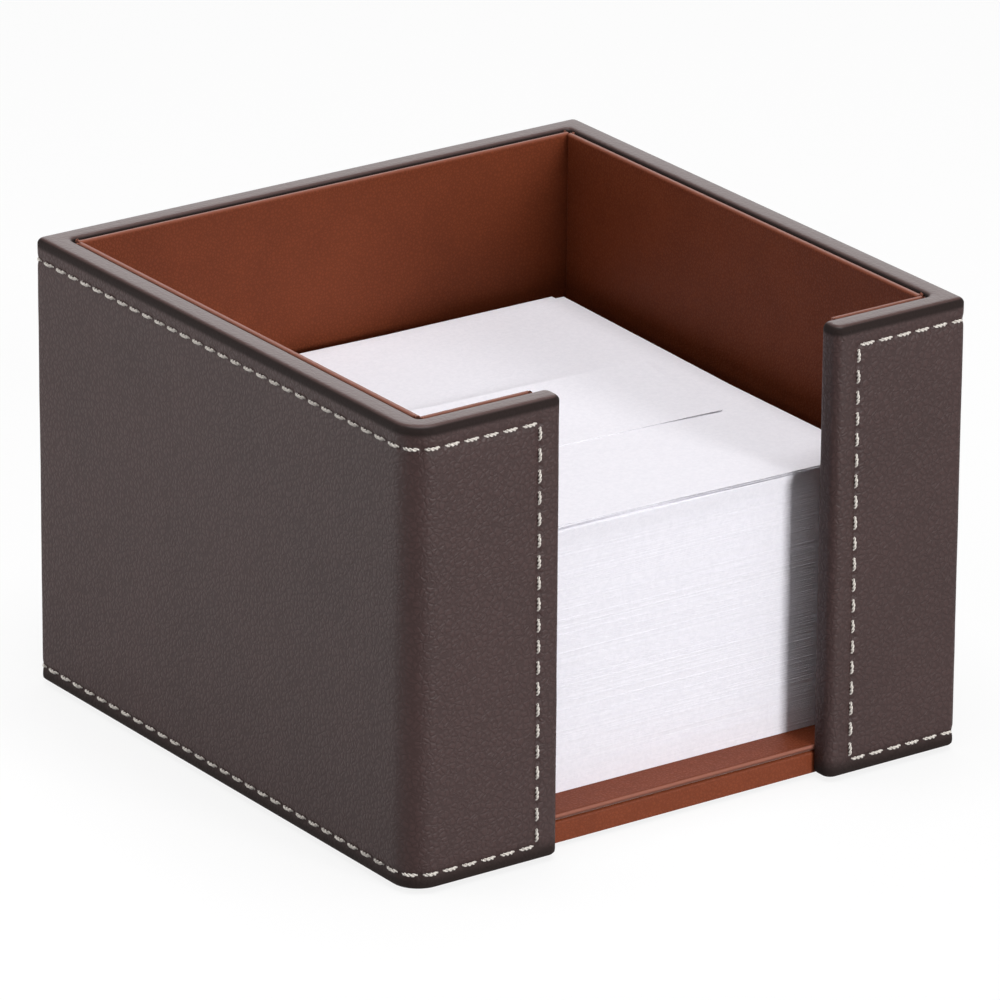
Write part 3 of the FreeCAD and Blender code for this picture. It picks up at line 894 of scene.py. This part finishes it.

# %% [markdown]
# ## Paper finish
# Memo paper is bright, matt and slightly blue. A flat white would look like plastic, so its fibres give it
# a faint fleck, and each sheet of the stack gets a tone of its own, which shows on the cut edges as fine
# lines. The cut edges of the loose sheets on top are painted grey, as painted shade, so that each one's
# border can be seen.

# %% Paper finish
paper = fibrous(
    "paper", flecks=1400, low=(0.83, 0.815, 0.87), high=(0.88, 0.862, 0.915), roughness=0.75, relief=0.00001
)
tree = paper.node_tree
shader = tree.nodes["Principled BSDF"]
shader.inputs["Specular IOR Level"].default_value = 0.25
plain_white = shader.inputs["Base Color"].links[0].from_socket
tone = add(tree, "ShaderNodeAttribute", attribute_name="sheet_tone").outputs["Fac"]
grey = blend_colours(tree, tone, plain_white, (0.74, 0.725, 0.775, 1))
tree.links.new(grey, shader.inputs["Base Color"])
# The loose sheets' cut edges are painted grey as painted shade along their borders.
shaded_cut_edge = fibrous(
    "shaded_cut_edge", flecks=1400, low=(0.64, 0.63, 0.67), high=(0.72, 0.71, 0.75), roughness=0.85, relief=0.00001
)
print("paper finishes:", paper.name, shaded_cut_edge.name)

# %% [markdown]
# ## Memo stack
# The stack is some 450 sheets of a tenth of a millimetre. One block would have dead flat sides, and copying
# by hand is slow to change. Geometry Nodes set one thin sheet on each point of an upright line, give every
# sheet a small shift and turn from a fixed seed, and let the uppermost ones lean forward, as sheets do that
# were just leafed through.

# %% Sheet tree
sockets = [
    ("Start", "NodeSocketGeometry", None),
    ("Sheets", "NodeSocketInt", 450),
    ("Sheet size", "NodeSocketVector", (0.088, 0.088, 0.0001)),
    ("First sheet", "NodeSocketVector", (0.0, 0.0, 0.0)),
    ("Spacing", "NodeSocketFloat", 0.0001),
    ("Shift", "NodeSocketFloat", 0.0001),
    ("Stack turn", "NodeSocketFloat", 0.0),
    ("Sheet turn", "NodeSocketFloat", 0.001),
    ("Lean", "NodeSocketFloat", 0.0005),
    ("Leaning sheets", "NodeSocketFloat", 20.0),
    ("Tone", "NodeSocketFloat", 0.3),
    ("Seed", "NodeSocketInt", 7),
    ("Finish", "NodeSocketMaterial", None),
]
outputs = [("Stack", "NodeSocketGeometry")]
sheet_tree, given, result = new_group("GeometryNodeTree", "stacked sheets", sockets, outputs)
tree = sheet_tree
step = add(tree, "ShaderNodeCombineXYZ", {2: given["Spacing"]}).outputs[0]
line = {"Count": given["Sheets"], "Start Location": given["First sheet"], "Offset": step}
line = add(tree, "GeometryNodeMeshLine", line).outputs[0]
index = add(tree, "GeometryNodeInputIndex").outputs[0]
low_shift = calc(tree, "MULTIPLY", given["Shift"], -1.0)
side_shift = {2: low_shift, 3: given["Shift"], "Seed": given["Seed"]}
side_shift = add(tree, "FunctionNodeRandomValue", side_shift).outputs[1]
next_seed = calc(tree, "ADD", given["Seed"], 1.0)
deep_shift = {2: low_shift, 3: given["Shift"], "Seed": next_seed}
deep_shift = add(tree, "FunctionNodeRandomValue", deep_shift).outputs[1]
from_top = calc(tree, "SUBTRACT", given["Sheets"], index)
leaning = calc(tree, "SUBTRACT", 1.0, calc(tree, "DIVIDE", from_top, given["Leaning sheets"]))
leaning = calc(tree, "MAXIMUM", leaning, 0.0)
forward = calc(tree, "MULTIPLY", leaning, given["Lean"])
deep_shift = calc(tree, "SUBTRACT", deep_shift, forward)
move = add(tree, "ShaderNodeCombineXYZ", {0: side_shift, 1: deep_shift}).outputs[0]
line = add(tree, "GeometryNodeSetPosition", {"Geometry": line, "Offset": move}).outputs[0]
low_turn = calc(tree, "MULTIPLY", given["Sheet turn"], -1.0)
turn_seed = calc(tree, "ADD", given["Seed"], 2.0)
turn = {2: low_turn, 3: given["Sheet turn"], "Seed": turn_seed}
turn = add(tree, "FunctionNodeRandomValue", turn).outputs[1]
turn = calc(tree, "ADD", turn, given["Stack turn"])
turn = add(tree, "ShaderNodeCombineXYZ", {2: turn}).outputs[0]
sheet = add(tree, "GeometryNodeMeshCube", {"Size": given["Sheet size"]}).outputs[0]
stack = {"Points": line, "Instance": sheet, "Rotation": turn}
stack = add(tree, "GeometryNodeInstanceOnPoints", stack).outputs[0]
tone_seed = calc(tree, "ADD", given["Seed"], 3.0)
tone = add(tree, "FunctionNodeRandomValue", {2: 0.0, 3: given["Tone"], "Seed": tone_seed}).outputs[1]
toned = {"Geometry": stack, "Name": "sheet_tone", "Value": tone}
stack = add(tree, "GeometryNodeStoreNamedAttribute", toned, data_type="FLOAT", domain="INSTANCE").outputs[0]
stack = add(tree, "GeometryNodeRealizeInstances", {0: stack}).outputs[0]
stack = add(tree, "GeometryNodeSetMaterial", {"Geometry": stack, "Material": given["Finish"]}).outputs[0]
tree.links.new(stack, result.inputs[0])
print("sheet tree has", len(tree.nodes), "nodes")

# %% Memo stack
SHEET, THIN, FILL_SHARE = 88.0, 0.1, 0.97
PAPER_X, PAPER_Y = -1.39, 0.82
STACK_LOW, STACK_HIGH = FLOOR_TOP, size_of("memo_stack")[1].z
STACK_TURN = -0.59
values = {
    "Sheets": round((STACK_HIGH - STACK_LOW) / THIN),
    "Sheet size": (SHEET * MM, SHEET * MM, FILL_SHARE * THIN * MM),
    "First sheet": Vector((PAPER_X, PAPER_Y, STACK_LOW + THIN / 2)) * MM,
    "Spacing": THIN * MM,
    "Shift": 0.04 * MM,
    "Stack turn": math.radians(STACK_TURN),
    "Sheet turn": math.radians(0.04),
    "Lean": 0.8 * MM,
    "Leaning sheets": 22.0,
    "Tone": 0.1,
    "Seed": 7,
    "Finish": paper,
}
start = bpy.data.meshes.new("memo_stack_start")
stack_mesh = made_by_nodes("memo_sheets", start, sheet_tree, values)
stack = add_piece("memo_sheets", stack_mesh, paper)
stack_mesh.polygons.foreach_set("use_smooth", [False] * len(stack_mesh.polygons))
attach(stack, "memo_paper")
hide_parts("memo_stack")
print("the stack has", len(stack_mesh.polygons), "faces")

# %% [markdown]
# ## Loose sheets and the top slip
# The last few sheets lie askew, and a smaller slip lies on them. Paper that has been handled isn't flat: it
# keeps a low hump, and its free edges lift a little. These sheets are grids that all follow the same gentle
# surface, so they rest on each other without crossing.

# %% Sheets that lie loose
SWELL, SWELL_LENGTH, SWELL_LAYER = 0.35, 38, 3
PAPER_REACH, EDGE_EASE = 46, 4
FRONT_LIFT, FRONT_FROM, FRONT_LENGTH = 0.05, 34, 9
SHEET_CELLS = 30
CUT_ANGLE = math.radians(40)


def lie_of_paper(x, y):
    """How far the top sheets lift off the stack at a spot: a low swell, and a slightly raised front edge."""
    swell = SWELL * noise.noise(Vector((x, y, SWELL_LAYER)) / SWELL_LENGTH)
    from_edge = max(0, 1 - max(abs(x), abs(y)) / PAPER_REACH)
    front_lift = FRONT_LIFT * max(0, (-y - FRONT_FROM) / FRONT_LENGTH) ** 2
    return max(0, swell) * min(1, EDGE_EASE * from_edge) + front_lift


def lay_sheets(name, node, sheets, body):
    """Thin curved sheets as one piece. Each has its middle, width, depth, height, turn and own lift."""
    bm = bmesh.new()
    for middle, width, depth, height, turn, extra in sheets:
        turned = Matrix.Rotation(math.radians(turn), 3, "Z")
        rows = []
        for i in range(SHEET_CELLS + 1):
            row = []
            for j in range(SHEET_CELLS + 1):
                across, deep = i / SHEET_CELLS, j / SHEET_CELLS
                flat = Vector(((across - 0.5) * width, (deep - 0.5) * depth, 0))
                spot = turned @ flat + Vector((*middle, 0))
                spot.z = height + lie_of_paper(spot.x, spot.y) + extra(across, deep)
                row.append(bm.verts.new(spot))
            rows.append(row)
        for row, next_row in zip(rows, rows[1:]):
            for j in range(SHEET_CELLS):
                bm.faces.new((row[j], next_row[j], next_row[j + 1], row[j + 1]))
    piece = add_piece(name, mesh_in_metres(bm, name), paper)
    piece.data.materials.append(shaded_cut_edge)
    body_of_sheet = piece.modifiers.new("thickness", "SOLIDIFY")
    body_of_sheet.material_offset_rim = 1
    body_of_sheet.thickness = THIN * MM
    body_of_sheet.offset = -1
    graph = bpy.context.evaluated_depsgraph_get()
    thick = bpy.data.meshes.new_from_object(piece.evaluated_get(graph))
    thick.set_sharp_from_angle(angle=CUT_ANGLE)
    piece.modifiers.clear()
    piece.data = thick
    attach(piece, body)
    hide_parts(node)
    print(name, len(piece.data.polygons), "faces")


print("the paper swells by up to", SWELL, "millimetres")

# %% Top sheets and slip
LOOSE_TURNS, SHEET_CLEAR = (-0.9, -2.4, -0.32, -2.18), 0.03
SLIP_MIDDLE, SLIP_WIDTH, SLIP_DEPTH, SLIP_TURN = (-0.54, -1.43), 70.5, 24.5, -3.73
SLIP_CLEAR, BACK_LIFT, END_CURL, FRONT_CURL = 0.02, 0.6, 0.5, 0.25
slip_high = size_of("top_slip")[1].z
loose = []
for number, turn in enumerate(LOOSE_TURNS):
    top = STACK_HIGH + THIN * (number + 1)
    clear = SHEET_CLEAR * number
    loose.append(((PAPER_X, PAPER_Y), SHEET, SHEET, top, turn, lambda across, deep, lift=clear: lift))
lay_sheets("top_sheets", "loose_sheets", loose, "memo_paper")


def slip_lift(across, deep):
    """The slip lies flat in front, its back edge lifts, and its right end curls up a little."""
    curl = END_CURL * deep**1.5 * across**4.5 + FRONT_CURL * (1 - deep) ** 3 * across**3
    return SLIP_CLEAR + BACK_LIFT * deep**2 + curl


slip = (SLIP_MIDDLE, SLIP_WIDTH, SLIP_DEPTH, slip_high, SLIP_TURN, slip_lift)
lay_sheets("loose_slip", "top_slip", [slip], "slip")

# %% [markdown]
# ## Hidden boards, cards and felt
# Inside the walls are fibreboard cores, inside the panels are cards, and the box stands on felt. The packed
# model already has their shapes and that of the wrapped base, so they only need finishes: pressed fibres
# with flecks, and a soft dark nap below.

# %% Hidden boards, cards and felt
fibreboard = fibrous(
    "fibreboard", flecks=900, low=(0.16, 0.10, 0.06), high=(0.27, 0.18, 0.11), roughness=0.88, relief=0.0001
)
card = fibrous(
    "card", flecks=1500, low=(0.36, 0.34, 0.31), high=(0.46, 0.44, 0.40), roughness=0.85, relief=0.00004
)
felt = fibrous(
    "felt", flecks=2600, low=(0.01, 0.009, 0.009), high=(0.034, 0.03, 0.029), roughness=0.95, relief=0.00012
)
felt.node_tree.nodes["Principled BSDF"].inputs["Sheen Weight"].default_value = 0.4
finishes = {"board": fibreboard, "card": card, "felt": felt, "wrap": lit_base_leather}
for name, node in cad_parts.items():
    ending = name.split("_")[-1]
    if ending in finishes:
        for number in range(len(node.data.materials)):
            node.data.materials[number] = finishes[ending]
        print(name, "is", finishes[ending].name)
